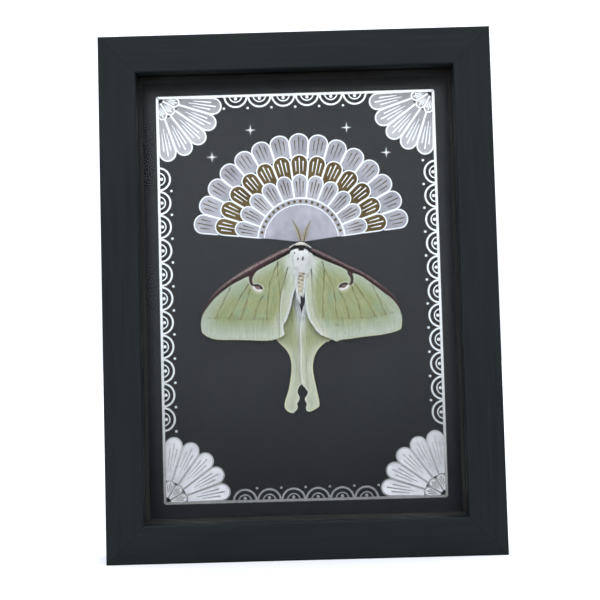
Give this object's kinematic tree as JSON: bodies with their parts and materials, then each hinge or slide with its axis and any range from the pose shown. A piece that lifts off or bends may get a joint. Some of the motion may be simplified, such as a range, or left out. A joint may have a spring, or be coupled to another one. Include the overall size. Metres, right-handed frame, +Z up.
{
  "type": "framed moth specimen",
  "caption": "Upright black wooden shadow-box frame with a clear pane, holding a spread pale green long-tailed moth on a dark foil-printed card, with a hanger on its back.",
  "frame": {"origin": "under the middle of the frame, on the surface that its bottom rail stands on", "axes": "+Z up along the frame's height, -Y out of the glass towards the viewer, +X to the viewer's right"},
  "size_m": [0.1524, 0.028, 0.2032],
  "materials": {
    "painted_rail": "satin black paint over faint grain",
    "clear_pane": "clear, polished",
    "spacer_strip": "matt black",
    "black_card": "satin black with foil print",
    "hardboard": "smooth pressed fibre",
    "steel": "plated sheet",
    "white_fur": "fine hair",
    "green_wing": "powdery scales",
    "straw_feather": "fine comb of hairs"
  },
  "bodies": {
    "root": {"rail_top": "painted_rail", "rail_bottom": "painted_rail", "rail_left": "painted_rail", "rail_right": "painted_rail", "glass": "clear_pane", "spacer_top": "spacer_strip", "spacer_bottom": "spacer_strip", "spacer_left": "spacer_strip", "spacer_right": "spacer_strip", "backing_card": "black_card", "back_board": "hardboard", "point_1": "steel", "point_2": "steel", "point_3": "steel", "point_4": "steel", "point_5": "steel", "point_6": "steel", "sawtooth_hanger": "steel", "hanger_rivet_left": "steel", "hanger_rivet_right": "steel", "moth_body": "white_fur", "forewing_left": "green_wing", "forewing_right": "green_wing", "hindwing_left": "green_wing", "hindwing_right": "green_wing", "antenna_left": "straw_feather", "antenna_right": "straw_feather"}
  },
  "joints": []
}
